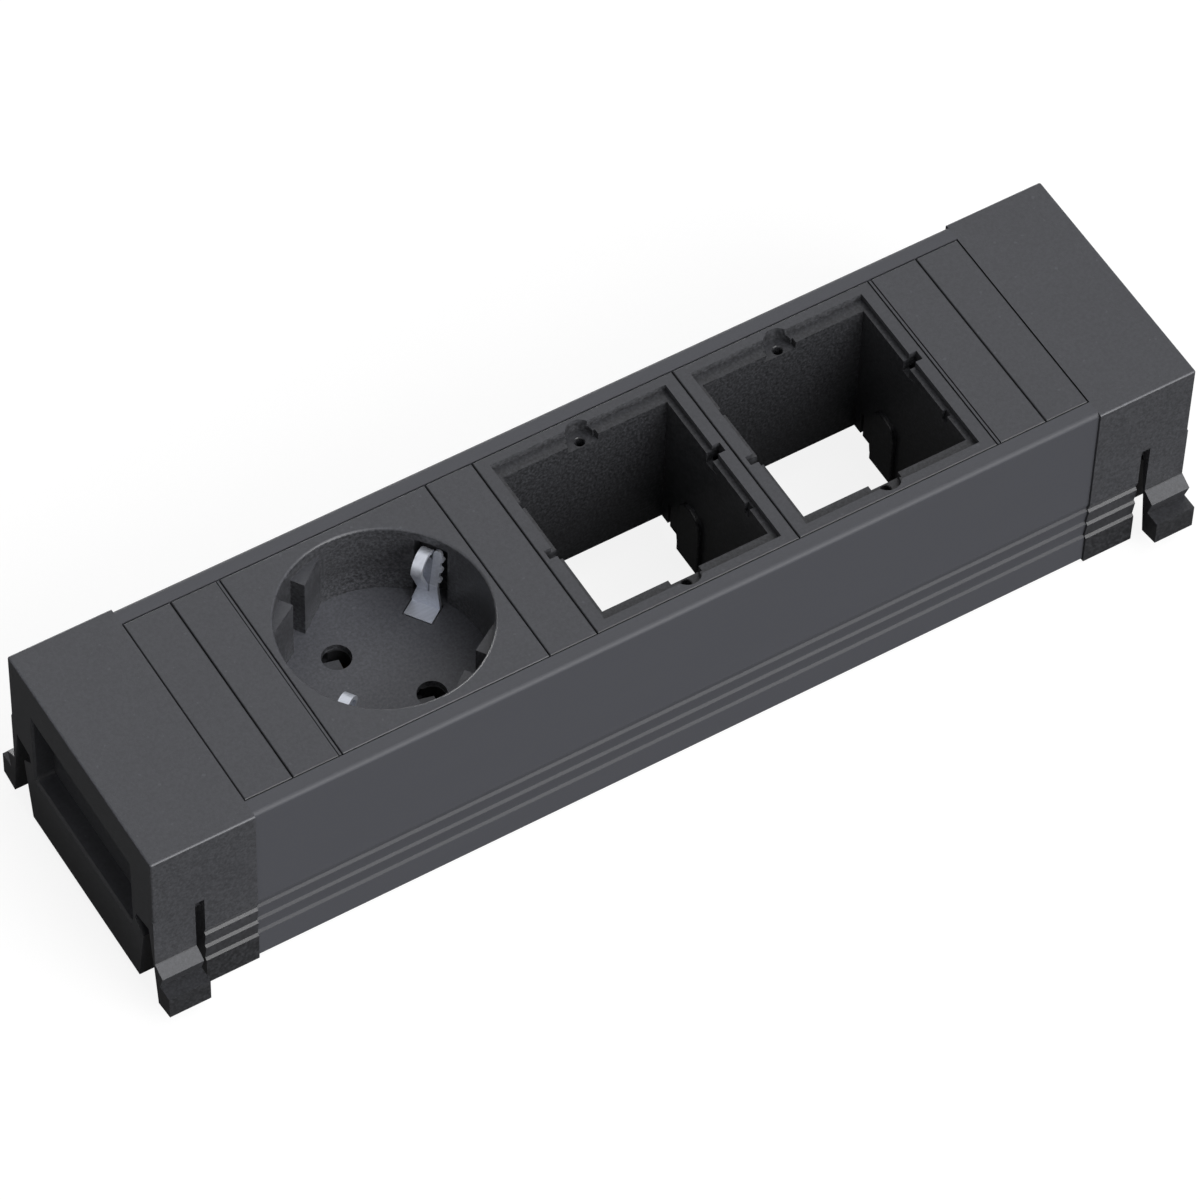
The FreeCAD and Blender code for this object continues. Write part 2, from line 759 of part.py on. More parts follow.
def socket_parts(centre):
    """Every piece of the earthed socket, by name."""
    terminal = screw(terminal_screw_length)
    holding = screw(floor_low - boss_hole_cover - screw_tip_gap - screw_shoulder)
    closing = screw(base_low + cover_screw_bite - cover_low)
    at_pin = pin_spacing / 2
    parts = {
        "socket_insert": moved(socket_insert(), x=centre),
        "earth_bracket": in_socket(earth_bracket(), centre),
        "socket_shutter": in_socket(shutter(), centre),
        "shutter_spring": in_socket(shutter_spring(), centre),
        "socket_base": in_socket(socket_base(), centre),
        "socket_rear_cover": in_socket(rear_cover(), centre),
        "contact_live": in_socket(moved(contact(), x=at_pin), centre),
        "contact_neutral": in_socket(moved(turned(contact(), 180), x=-at_pin), centre),
        "terminal_screw_live": in_socket(moved(terminal, x=at_pin, z=base_low), centre),
        "terminal_screw_neutral": in_socket(moved(terminal, x=-at_pin, z=base_low), centre),
        "terminal_screw_earth": in_socket(moved(terminal, y=earth_screw_y(), z=base_low), centre),
        "base_screws": in_socket(Part.makeCompound(
            half_turned(moved(holding, x=screw_pin_offset, y=screw_earth_offset, z=screw_shoulder))), centre),
        "rear_cover_screws": in_socket(Part.makeCompound(
            half_turned(moved(closing, x=-screw_pin_offset, y=screw_earth_offset, z=cover_low))), centre),
    }
    return parts


def side_rail():
    """Rear rail: louvred outside, flange at the top, snap rib and foot lip inside."""
    flange_inner = rail_face - rail_flange
    outline = louvred_outline(rail_face, body_height, rail_low)
    outline += [
        (rail_inner - rail_foot_lip, rail_low), (rail_inner - rail_foot_lip, rail_low + rail_foot_thickness),
        (rail_inner, rail_low + rail_foot_thickness), (rail_inner, snap_rib_low),
        (rail_inner - snap_rib_reach, snap_rib_low), (rail_inner - snap_rib_reach, snap_rib_high),
        (rail_inner, snap_rib_high), (rail_inner, body_height - rail_flange_thickness),
        (flange_inner, body_height - rail_flange_thickness), (flange_inner, body_height),
    ]
    body = prism(outline, "X", -half_row, half_row)
    return rounded(body, rail_edge_radius, lambda edge: (
        lies_at(edge, "Y", rail_face) and lies_at(edge, "Z", body_height)))


def latch_arm():
    """Arm on the +Y side at the end face: barb, lip and foot, as one outline."""
    inner = half_cap - cap_wall
    tip = half_cap + barb_reach
    outline = [
        (inner, arm_root_z), (half_cap, arm_root_z), (half_cap, barb_z + barb_ramp), (tip, barb_z),
        (tip - barb_back, lip_back_z), (tip - barb_back - 0.1, foot_top_z),
        (half_cap + foot_reach, foot_top_z), (half_cap + foot_reach, foot_low_z),
        (half_cap + foot_heel_reach, foot_heel_z), (half_cap + foot_inner_reach, barb_z),
        (inner, shelf_low + arm_fillet_rise),
    ]
    return prism(outline, "X", 0, arm_length)


def side_gap():
    """Space between the cap's trough and its side skirt, seen from the end."""
    inner = half_cap - cap_wall
    outline = [
        (inner, shelf_low + arm_fillet_rise), (trough_step_half + 0.5, shelf_low),
        (trough_step_half, trough_step_z),
        (trough_half_top, trough_shoulder_z), (trough_half_bottom, trough_low), (trough_half_bottom, -1),
        (inner, -1),
    ]
    return prism(outline, "X", -1, cap_length + 1)


def trough_inside():
    """Room inside the cap, from its end wall to its open inner end."""
    inner = half_cap - cap_wall
    wall = cap_wall
    side_low = trough_half_bottom - wall
    side_wide = trough_half_top - wall - trough_corner
    side_high = trough_step_half - wall
    half_outline = [
        (side_low, trough_low + wall), (side_wide, trough_shoulder_z - wall),
        (side_high, trough_step_z - wall + 2 * trough_corner), (side_high, shelf_high + 0.1)]
    other_half = [(-y, z) for y, z in reversed(half_outline)]
    lower = prism(half_outline + other_half, "X", wall, cap_length + 1)
    upper = block(wall, cap_length + 1, -inner, inner, shelf_high, body_height - cap_top_wall)
    return fuse([lower, upper])


def pocket_cutter():
    half = half_cap - pocket_side_margin
    hollow = block(-1, pocket_depth, -half, half, pocket_low, pocket_high)
    hollow = rounded(hollow, pocket_corner_radius, lambda edge: (
        edge.BoundBox.XLength > 1 and edge.BoundBox.YLength < 1e-6 and edge.BoundBox.ZLength < 1e-6))
    chamfer = pocket_chamfer

    def mouth(x, grow):
        low = pocket_low - grow
        high = pocket_high + grow
        side = half + grow
        corners = [Vec(x, -side, low), Vec(x, side, low), Vec(x, side, high), Vec(x, -side, high)]
        return Part.makePolygon(corners + corners[:1])

    flare = Part.makeLoft([mouth(-chamfer, 2 * chamfer), mouth(chamfer, 0)], True)
    return [hollow, flare]


def end_cap():
    """Left cap, with its end face at x 0 and its open side towards the row."""
    inner = half_cap - cap_wall
    hood = block(0, cap_length, -half_cap, half_cap, 0, body_height)
    hood = rounded(hood, cap_edge_radius, lambda edge: (
        (lies_at(edge, "Z", body_height) and not lies_at(edge, "X", cap_length))
        or (lies_at(edge, "X", 0) and edge.BoundBox.ZLength > body_height / 2)))
    slot_end = arm_length + arm_slot
    skirt_way = block(-1, slot_end, inner, far, -1, arm_root_z)
    skirt_outer = prism(
        louvred_outline(half_cap, arm_root_z, -1) + [(far, -1), (far, arm_root_z)],
        "X", slot_end - 0.01, cap_length + 1)
    under = block(-1, cap_length + 1, -inner, inner, -1, trough_low)
    cutters = [trough_inside(), under]
    for tool in (skirt_way, skirt_outer, side_gap()):
        cutters += both_sides(tool)
    body = cut(hood, cutters)

    half = half_cap - pocket_side_margin
    pocket_box = block(
        0.2, pocket_depth + pocket_wall, -half - pocket_wall, half + pocket_wall,
        pocket_low - pocket_wall, pocket_high + pocket_wall)
    tongue_outer = rail_inner - tongue_clearance
    tongue = block(
        cap_length - 1, cap_length + tongue_length, tongue_outer - tongue_thickness, tongue_outer,
        tongue_low, tongue_high)
    tongue = tongue.makeChamfer(tongue_chamfer, [edge for edge in tongue.Edges if (
        lies_at(edge, "X", cap_length + tongue_length) and edge.BoundBox.ZLength > 1)])
    root = prism(
        [(trough_half_bottom - 0.4, tongue_low), (tongue_outer, tongue_low), (tongue_outer, tongue_high),
         (trough_half_top - 0.9, tongue_high)], "X", cap_length - tongue_root, cap_length)
    web = side_gap().common(block(slot_end, slot_end + slot_web, 0, far, slot_web_low, far))
    pieces = [body, pocket_box]
    for item in (latch_arm(), tongue, root, web):
        pieces += both_sides(item)
    return cut(fuse(pieces), pocket_cutter())


def clamp_screw_heights():
    top = trough_low + cap_wall + clamp_boss_height
    return trough_low + head_height, top


def clamp_features():
    """Bosses and saddle on the trough's floor of the left cap, and the cutters for its holes."""
    floor_z = trough_low + cap_wall
    seat, top = clamp_screw_heights()
    added = []
    removed = [drum(outlet_from_end, 0, -1, floor_z + 0.5, outlet_radius)]
    for side in (-1, 1):
        added.append(drum(clamp_from_end, side * clamp_spread, floor_z - 0.5, top, clamp_boss_radius))
        removed.append(drum(clamp_from_end, side * clamp_spread, -1, top + 1, screw_radius + screw_play))
        removed.append(drum(clamp_from_end, side * clamp_spread, -1, seat, head_radius + 0.2))
    half = clamp_width / 2
    added.append(block(
        clamp_from_end - half * saddle_share, clamp_from_end + half * saddle_share,
        -clamp_cable_radius, clamp_cable_radius,
        floor_z - 0.2, floor_z + saddle_height))
    return added, removed


def left_cap():
    added, removed = clamp_features()
    return moved(cut(fuse([end_cap()] + added), removed), x=-part_length / 2)


def right_cap():
    ring = cut(
        drum(outlet_from_end, 0, -1, trough_low + knockout_depth, outlet_radius),
        [drum(outlet_from_end, 0, -2, far, outlet_radius - knockout_width)])
    body = cut(end_cap(), [ring])
    return moved(body.mirror(Vec(0, 0, 0), Vec(1, 0, 0)), x=part_length / 2)


def cable_clamp():
    """Bar with an arch that presses a cable onto the saddle."""
    seat, top = clamp_screw_heights()
    half = clamp_width / 2
    start = clamp_from_end - half
    axis_z = trough_low + cap_wall + saddle_height + clamp_cable_radius
    arch_radius = clamp_cable_radius + clamp_wall
    arch = Part.makeCylinder(arch_radius, clamp_width, Vec(start, 0, axis_z), Vec(1, 0, 0))
    bore = Part.makeCylinder(clamp_cable_radius, clamp_width + 2, Vec(start - 1, 0, axis_z), Vec(1, 0, 0))
    reach = clamp_spread + clamp_width / 2
    ears = block(start, start + clamp_width, -reach, reach, top, top + clamp_ear)
    body = cut(fuse([arch, ears]), [
        bore, block(start - 1, start + clamp_width + 1, -far, far, 0, top),
        block(start - 1, start + clamp_width + 1, -clamp_cable_radius, clamp_cable_radius, 0, axis_z)])
    hole_end = top + clamp_ear - clamp_blind_cover
    holes = [
        drum(clamp_from_end, side * clamp_spread, 0, hole_end, screw_radius + screw_fit)
        for side in (-1, 1)]
    return moved(cut(body, holes), x=-part_length / 2)


def clamp_screws():
    seat, top = clamp_screw_heights()
    body = screw(top + clamp_ear - clamp_blind_cover - clamp_screw_tip_gap - seat)
    pair = [
        moved(body, x=clamp_from_end - part_length / 2, y=side * clamp_spread, z=seat)
        for side in (-1, 1)]
    return Part.makeCompound(pair)


def build():
    """All pieces by name, in the row's frame."""
    parts = {
        "end_cap_left": left_cap(),
        "end_cap_right": right_cap(),
        "side_rail_rear": side_rail(),
        "side_rail_front": mirrored_y(side_rail()),
        "cable_clamp": cable_clamp(),
        "cable_clamp_screws": clamp_screws(),
    }
    row = [
        ("blank_insert_1", blank_pitch - row_end_gap, 0),
        ("blank_insert_2", narrow_blank_pitch + edge_lip, 1),
        ("socket", insert_pitch, 0), ("blank_insert_3", blank_pitch, 0),
        ("cell_frame_1", insert_pitch, 0), ("cell_frame_2", insert_pitch, 0),
        ("blank_insert_4", blank_pitch + edge_lip, -1),
        ("blank_insert_5", narrow_blank_pitch - row_end_gap, 0),
    ]
    start = -half_row + row_end_gap
    for name, width, lip_side in row:
        centre = start + width / 2
        if name == "socket":
            parts.update(socket_parts(centre))
        elif name.startswith("cell"):
            parts[name] = cell_frame(centre)
        else:
            parts[name] = blank_insert(start, width, lip_side)
        start += width
    return parts


os.makedirs("parts", exist_ok=True)
for node, shape in build().items():
    shape.exportStep("parts/" + node + ".step")
    print(node, "solids", len(shape.Solids), "valid", shape.isValid(), "volume", round(shape.Volume, 1))
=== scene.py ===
import math

import bpy
from mathutils import Matrix, Vector


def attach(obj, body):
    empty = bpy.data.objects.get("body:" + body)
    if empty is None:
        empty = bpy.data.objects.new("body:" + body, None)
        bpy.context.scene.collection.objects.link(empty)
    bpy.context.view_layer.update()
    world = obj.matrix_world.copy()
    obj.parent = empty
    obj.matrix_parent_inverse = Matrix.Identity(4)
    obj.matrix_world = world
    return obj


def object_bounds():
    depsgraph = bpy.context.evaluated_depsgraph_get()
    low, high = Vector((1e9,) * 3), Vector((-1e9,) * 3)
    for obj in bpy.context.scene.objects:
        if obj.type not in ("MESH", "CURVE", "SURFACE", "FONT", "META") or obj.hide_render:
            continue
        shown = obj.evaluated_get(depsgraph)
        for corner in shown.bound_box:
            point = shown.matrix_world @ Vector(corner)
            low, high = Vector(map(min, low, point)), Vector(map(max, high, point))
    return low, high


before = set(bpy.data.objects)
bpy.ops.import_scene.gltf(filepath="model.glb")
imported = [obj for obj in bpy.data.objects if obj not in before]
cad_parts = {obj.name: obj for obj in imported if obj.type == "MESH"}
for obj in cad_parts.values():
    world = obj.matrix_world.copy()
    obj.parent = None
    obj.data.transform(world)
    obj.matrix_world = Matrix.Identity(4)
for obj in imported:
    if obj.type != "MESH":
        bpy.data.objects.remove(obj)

cad_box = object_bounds()

# Camera, in the row's frame: where it stands, how it looks back from the object, and its roll
CAMERA_PLACE = Vector((-0.4266, -0.6599, 1.0711))
CAMERA_BACK = Vector((-0.3235, -0.5026, 0.8017))
CAMERA_ROLL = math.radians(2.07)
CAMERA_LENS = 215.17
CAMERA_SENSOR = 36.0
CAMERA_NEAR = 0.05
CAMERA_FAR = 20.0

# Soft light: a plain world, and broad distant lamps as direction, spread in degrees and strength
WORLD_LIGHT = 0.095
LAMPS = {
    "key": ((0.32, -0.41, 0.85), 50.0, 1.25),
    "back": ((0.30, 0.55, 0.80), 60.0, 0.37),
    "front": ((0.25, -0.90, 0.40), 50.0, 2.75),
    "left": ((-1.0, -0.20, 0.55), 60.0, 0.4),
    "rear": ((0.15, 1.0, 0.08), 30.0, 1.5),
}

# Floor: half its side and its distance below the part in metres, and the greys of its two looks
FLOOR_HALF_SIDE = 6.0
FLOOR_DROP = 0.0005
FLOOR_GREY = 0.06
FLOOR_PALE = 0.9
FLOOR_GLOW = 1.08
FLOOR_GLOW_SHARE = 0.8

# Shares of the white background that gloss rays see, in the floor and in the world
FLOOR_GLINT = 0.03
SKY_GLINT = 0.3

# Lengths of surface detail, in metres
GRAIN = 0.0006
FINE_GRAIN = 0.00022
CLOUD = 0.02
SPECK = 0.0011
COAT_LINE = 0.0006
COAT_FLECK = 0.0003
COAT_CLOUD = 0.01
BRUSH = 0.0005
TARNISH = 0.003

# Where the painted light on the louvres' ramps gives way to that on edges: heights, and distances
# from the row's middle plane, with the share of it that the barbs beyond take
LOUVRES_TOP = (0.02, 0.026)
LOUVRES_REACH = (0.0262, 0.0265)
BARB_SHARE = 0.73

# Share by which blue exceeds red, in black pigment and in the grain and painted shade of upright
# faces
PIGMENT_COOL = 0.17
WALL_COOL = -0.04

# Steepness between which a face counts as sloping: 0 is upright and 1 is level
STEEP = (0.3, 0.6)
NEARLY_LEVEL = (0.88, 1.0)

# Noise between which each pattern goes from its first colour to its second, and the cover of a speck
MOTTLE_STOPS = (0.35, 0.65)
FLECK_STOPS = (0.32, 0.68)
COAT_STOPS = (0.3, 0.7)
BRUSH_STOPS = (0.25, 0.75)
SPECK_STOPS = (0.79, 0.84)
SPECK_SHARE = 0.6

# Roughness of the plastics and of the rails' coat, and the depth in metres and strength of relief
PLASTIC_ROUGHNESS = (0.3, 0.44)
COAT_ROUGHNESS = (0.45, 0.55)
PLASTIC_RELIEF = (0.00004, 0.35)
COAT_RELIEF = (0.00002, 0.15)
METAL_RELIEF = (0.00002, 0.2)

# Back sheet of each earth clip, in the socket's frame: profile across the sheet, and its two edges
SOCKET_PLACE = Vector((-0.047425, 0.0, 0.0))
SOCKET_TURN = math.radians(-55.3)
SHEET_PROFILE = [
    (0.0176, 0.0312), (0.0181, 0.0312), (0.0181, 0.0329),
    (0.0194, 0.0386), (0.0189, 0.0386), (0.0176, 0.0329),
]
SHEET_EDGES = (-0.00165, 0.00075)


class Surface:
    """A node material: one principled shader and helpers for the nodes that feed it."""

    def __init__(self, name, roughness, specular=0.5, metallic=0.0):
        self.material = bpy.data.materials.new(name)
        self.material.use_nodes = True
        self.nodes = self.material.node_tree.nodes
        self.links = self.material.node_tree.links
        self.shader = self.nodes["Principled BSDF"]
        self.shader.inputs["Roughness"].default_value = roughness
        self.shader.inputs["Specular IOR Level"].default_value = specular
        self.shader.inputs["Metallic"].default_value = metallic
        self.coordinates = self.nodes.new("ShaderNodeTexCoord")

    def join(self, output, target):
        self.links.new(output, target)

    def scaled(self, stretch):
        mapping = self.nodes.new("ShaderNodeMapping")
        mapping.inputs["Scale"].default_value = stretch
        self.join(self.coordinates.outputs["Object"], mapping.inputs["Vector"])
        return mapping.outputs["Vector"]

    def noise(self, size, detail=2.0, rough=0.5, stretch=(1.0, 1.0, 1.0)):
        """Soft noise whose patches are about size metres wide."""
        node = self.nodes.new("ShaderNodeTexNoise")
        node.inputs["Scale"].default_value = 1.0 / size
        node.inputs["Detail"].default_value = detail
        node.inputs["Roughness"].default_value = rough
        self.join(self.scaled(stretch), node.inputs["Vector"])
        return node.outputs["Fac"]

    def ramp(self, value, stops, low, high):
        """One colour up to the first stop of a value, and another from the second."""
        node = self.nodes.new("ShaderNodeValToRGB")
        for element, position, colour in zip(node.color_ramp.elements, stops, (low, high)):
            element.position = position
            element.color = (*colour, 1.0)
        self.join(value, node.inputs["Fac"])
        return node.outputs["Color"]

    def span(self, value, low, high, start=0.0, end=1.0):
        """From low, where the value is start or less, to high, where it is end or more."""
        node = self.nodes.new("ShaderNodeMapRange")
        node.inputs["From Min"].default_value = start
        node.inputs["From Max"].default_value = end
        node.inputs["To Min"].default_value = low
        node.inputs["To Max"].default_value = high
        self.join(value, node.inputs["Value"])
        return node.outputs["Result"]

    def worked(self, operation, *values):
        """The result of an operation on values, which are numbers or outputs of nodes."""
        node = self.nodes.new("ShaderNodeMath")
        node.operation = operation
        for place, value in zip(node.inputs, values):
            if isinstance(value, float):
                place.default_value = value
            else:
                self.join(value, place)
        return node.outputs["Value"]

    def along(self, coordinates, axis):
        """One axis of the object's coordinates or of its normals."""
        parts = self.nodes.new("ShaderNodeSeparateXYZ")
        self.join(self.coordinates.outputs[coordinates], parts.inputs["Vector"])
        return parts.outputs[axis]

    def mixed(self, factor, first, second, blend="MIX"):
        node = self.nodes.new("ShaderNodeMix")
        node.data_type = "RGBA"
        node.blend_type = blend
        self.join(factor, node.inputs["Factor"])
        self.join(first, node.inputs["A"])
        self.join(second, node.inputs["B"])
        return node.outputs["Result"]

    def speckled(self, colour, speck_colour):
        """Sparse pale dust specks over a colour."""
        specks = self.noise(SPECK, detail=0.0)
        sparse = self.ramp(specks, SPECK_STOPS, grey(0.0), grey(SPECK_SHARE, 0.0))
        pale = self.nodes.new("ShaderNodeRGB")
        pale.outputs[0].default_value = (*speck_colour, 1.0)
        return self.mixed(sparse, colour, pale.outputs[0])

    def paint_shading_by_height(self, colour, height_painted_shading, fleck):
        """Painted shading: the colour changed by an uneven share towards the lower of two heights."""
        low, high, share, spread = height_painted_shading
        level = self.span(self.along("Object", "Z"), 1.0, 0.0, low, high)
        mottle = self.ramp(fleck, MOTTLE_STOPS, grey(share - spread, 0.0), grey(share + spread, 0.0))
        return self.mixed(level, colour, mottle, "MULTIPLY")

    def levelness(self):
        """1 on level faces and 0 on upright ones."""
        return self.worked("ABSOLUTE", self.along("Normal", "Z"))

    def paint_light_on_slopes(self, colour, louvre_gain, edge_gain):
        """Painted light: the colour, times one gain on the louvres' ramps and another on other
        sloping faces.
        """
        level = self.levelness()
        slope = self.worked(
            "MULTIPLY", self.span(level, 0.0, 1.0, *STEEP), self.span(level, 1.0, 0.0, *NEARLY_LEVEL))
        above = self.span(self.along("Object", "Z"), 0.0, 1.0, *LOUVRES_TOP)
        reach = self.worked("ABSOLUTE", self.along("Object", "Y"))
        outside = self.span(reach, 0.0, BARB_SHARE, *LOUVRES_REACH)
        elsewhere = self.worked("MAXIMUM", above, outside)
        gain = self.span(elsewhere, louvre_gain - 1.0, edge_gain - 1.0)
        lighter = self.nodes.new("ShaderNodeVectorMath")
        lighter.operation = "SCALE"
        self.join(colour, lighter.inputs[0])
        self.join(self.worked("MULTIPLY_ADD", slope, gain, 1.0), lighter.inputs["Scale"])
        return lighter.outputs["Vector"]

    def walls_grain_and_painted_shade(self, colour, fleck, low, high):
        """Grain and painted shade: the colour, unevenly darker on upright faces and as it is on level
        ones.
        """
        upright = self.span(self.levelness(), 1.0, 0.0)
        mottle = self.ramp(fleck, MOTTLE_STOPS, grey(low, WALL_COOL), grey(high, WALL_COOL))
        return self.mixed(upright, colour, mottle, "MULTIPLY")

    def bump(self, height, depth, strength):
        node = self.nodes.new("ShaderNodeBump")
        node.inputs["Distance"].default_value = depth
        node.inputs["Strength"].default_value = strength
        self.join(height, node.inputs["Height"])
        self.join(node.outputs["Normal"], self.shader.inputs["Normal"])

    def colour(self, output):
        self.join(output, self.shader.inputs["Base Color"])

    def roughness(self, output):
        self.join(output, self.shader.inputs["Roughness"])


def grey(value, cool=PIGMENT_COOL):
    """Grey with a little more blue, as black pigment looks in the photograph."""
    return (value, value * (1.0 + cool / 6.0), value * (1.0 + cool))


def moulded_plastic(name, base, speckle, height_painted_shading=None, wall_grain_and_shade=(1.0, 1.0), slope_painted_light=(1.0, 1.0)):
    """Black plastic from a spark-eroded mould: a fine speckle in colour, gloss and relief, with
    painted light and shade.

    height_painted_shading is a pair of heights in metres, the share of the colour left at the lower
    one, painted shade below 1 and painted light above it, and how far that varies;
    wall_grain_and_shade the two shares of the colour between which upright faces vary, as grain and
    painted shade; and slope_painted_light how much lighter sloping faces are painted than level ones,
    on louvres and elsewhere.
    """
    surface = Surface(name, roughness=0.5, specular=0.5)
    fleck = surface.noise(GRAIN, detail=3.0, rough=0.7)
    cloud = surface.noise(CLOUD, detail=2.0)
    dark = surface.ramp(fleck, FLECK_STOPS, grey(base * (1 - speckle)), grey(base * (1 + speckle)))
    pale = surface.ramp(
        fleck, FLECK_STOPS, grey(base * (1.06 - speckle)), grey(base * (1.10 + speckle)))
    plain = surface.mixed(cloud, dark, pale)
    dusty = surface.speckled(plain, grey(base * 1.6))
    wall_grain_shaded = surface.walls_grain_and_painted_shade(dusty, fleck, *wall_grain_and_shade)
    lit = surface.paint_light_on_slopes(wall_grain_shaded, *slope_painted_light)
    surface.colour(surface.paint_shading_by_height(lit, height_painted_shading, fleck) if height_painted_shading else lit)
    surface.roughness(surface.span(fleck, *PLASTIC_ROUGHNESS))
    surface.bump(surface.noise(FINE_GRAIN, detail=2.0), *PLASTIC_RELIEF)
    return surface.material


def painted_rail(name, base, slope_painted_light):
    """Satin black coat on an extrusion: nearly smooth, with faint lines along its length, and painted
    shade on sloping faces.
    """
    surface = Surface(name, roughness=0.5, specular=0.36)
    lines = surface.noise(COAT_LINE, detail=2.0, stretch=(0.02, 1.0, 1.0))
    fleck = surface.noise(COAT_FLECK, detail=2.0)
    tone = surface.ramp(lines, COAT_STOPS, grey(base * 0.96), grey(base * 1.04))
    flecked = surface.ramp(fleck, COAT_STOPS, grey(base * 0.95), grey(base * 1.05))
    cloud = surface.noise(COAT_CLOUD)
    surface.colour(surface.paint_light_on_slopes(surface.mixed(cloud, tone, flecked), *slope_painted_light))
    surface.roughness(surface.span(lines, *COAT_ROUGHNESS))
    surface.bump(fleck, *COAT_RELIEF)
    return surface.material


def plated_metal(name, low, high, roughness, metallic=1.0):
    """Rolled and plated strip, with fine brushing and slight tarnish."""
    surface = Surface(name, roughness=roughness, metallic=metallic)
    brush = surface.noise(BRUSH, detail=3.0, stretch=(0.15, 1.0, 1.0))
    tarnish = surface.noise(TARNISH, detail=3.0)
    bright = surface.ramp(brush, BRUSH_STOPS, low, high)
    dull = surface.ramp(tarnish, COAT_STOPS, tuple(c * 0.8 for c in low), low)
    surface.colour(surface.mixed(surface.span(tarnish, 0.0, 0.5), bright, dull))
    surface.roughness(surface.span(brush, roughness * 0.8, roughness * 1.2))
    surface.bump(brush, *METAL_RELIEF)
    return surface.material


def make_clip_sheets(material):
    """Sheet behind the bowed lobe of each earth clip, seen through the bow."""
    spin = Matrix.Translation(SOCKET_PLACE) @ Matrix.Rotation(SOCKET_TURN, 4, "Z")
    count = len(SHEET_PROFILE)
    sides = [tuple(range(count)), tuple(range(2 * count - 1, count - 1, -1))]
    rims = [(k, k + count, (k + 1) % count + count, (k + 1) % count) for k in range(count)]
    for name, half_turn in (("clip_sheet_far", 0.0), ("clip_sheet_near", math.pi)):
        mesh = bpy.data.meshes.new(name)
        corners = [(x, y, z) for x in SHEET_EDGES for y, z in SHEET_PROFILE]
        mesh.from_pydata(corners, [], sides + rims)
        mesh.transform(spin @ Matrix.Rotation(half_turn, 4, "Z"))
        mesh.materials.append(material)
        sheet = bpy.data.objects.new(name, mesh)
        bpy.context.scene.collection.objects.link(sheet)
        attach(sheet, "module")


def dress_nodes():
    # Caps: painted shade darker towards the bottom and on upright faces, painted highlight on sloping
    # edges and barb ramps, painted shade on the louvres' ramps
    cap = moulded_plastic(
        "cap_plastic", 0.052, 0.12,
        height_painted_shading=(0.007, 0.018, 0.45, 0.14), wall_grain_and_shade=(0.79, 1.12), slope_painted_light=(0.6, 1.45))
    # Inserts: painted shade on sloping faces, darker edge fillets
    insert = moulded_plastic("insert_plastic", 0.051, 0.12, slope_painted_light=(0.6, 0.6))
    # Socket: painted light lighter towards the well's floor, painted shade on the well's upright
    # walls, painted highlight on sloping faces
    socket = moulded_plastic(
        "socket_plastic", 0.052, 0.12,
        height_painted_shading=(0.028, 0.034, 1.75, 0.16), wall_grain_and_shade=(0.38, 1.14), slope_painted_light=(1.2, 1.2))
    # Cell frames: painted shade darker below the rim, grain and painted shade on upright faces,
    # painted shade on sloping edges
    cell = moulded_plastic(
        "frame_plastic", 0.047, 0.12,
        height_painted_shading=(0.0428, 0.0436, 0.62, 0.18), wall_grain_and_shade=(0.68, 1.36), slope_painted_light=(0.6, 0.6))
    shutter = moulded_plastic("shutter_plastic", 0.058, 0.16)
    inner = moulded_plastic("inner_plastic", 0.018, 0.1)
    # Rails: painted shade on the louvres' ramps and, less, on other sloping faces
    rail = painted_rail("rail_coat", 0.067, slope_painted_light=(0.6, 0.9))
    # The clip sheets' metal is a darker copy of the earth clips' metal: painted shade behind the bows
    sheet = plated_metal("clip_sheet_shaded_metal", (0.34, 0.36, 0.41), (0.52, 0.54, 0.60), 0.5, 0.85)
    earth = plated_metal("earth_metal", (0.64, 0.67, 0.74), (0.82, 0.85, 0.93), 0.5, 0.85)
    steel = plated_metal("screw_steel", (0.48, 0.48, 0.49), (0.68, 0.68, 0.69), 0.35)
    brass = plated_metal("contact_brass", (0.22, 0.17, 0.09), (0.36, 0.28, 0.15), 0.5)
    looks = {
        "end_cap": cap, "cable_clamp": inner, "cable_clamp_screws": steel, "side_rail": rail,
        "blank_insert": insert, "cell_frame": cell, "socket_insert": socket, "socket_base": inner,
        "socket_rear_cover": inner, "socket_shutter": shutter, "shutter_spring": steel,
        "earth_bracket": earth, "contact": brass, "terminal_screw": steel, "base_screws": steel,
        "rear_cover_screws": steel,
    }
    for name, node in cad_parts.items():
        fitting = max((key for key in looks if name.startswith(key)), key=len)
        node.data.materials.clear()
        node.data.materials.append(looks[fitting])
    make_clip_sheets(sheet)


def make_camera():
    back = CAMERA_BACK.normalized()
    level = Vector((0.0, 0.0, 1.0)).cross(back).normalized()
    upward = back.cross(level)
    right = level * math.cos(CAMERA_ROLL) + upward * math.sin(CAMERA_ROLL)
    up = back.cross(right)
    data = bpy.data.cameras.new("camera")
    data.lens = CAMERA_LENS
    data.sensor_width = CAMERA_SENSOR
    data.clip_start = CAMERA_NEAR
    data.clip_end = CAMERA_FAR
    camera = bpy.data.objects.new("camera", data)
    turn = Matrix((right, up, back)).transposed().to_4x4()
    camera.matrix_world = Matrix.Translation(CAMERA_PLACE) @ turn
    bpy.context.scene.collection.objects.link(camera)
    bpy.context.scene.camera = camera


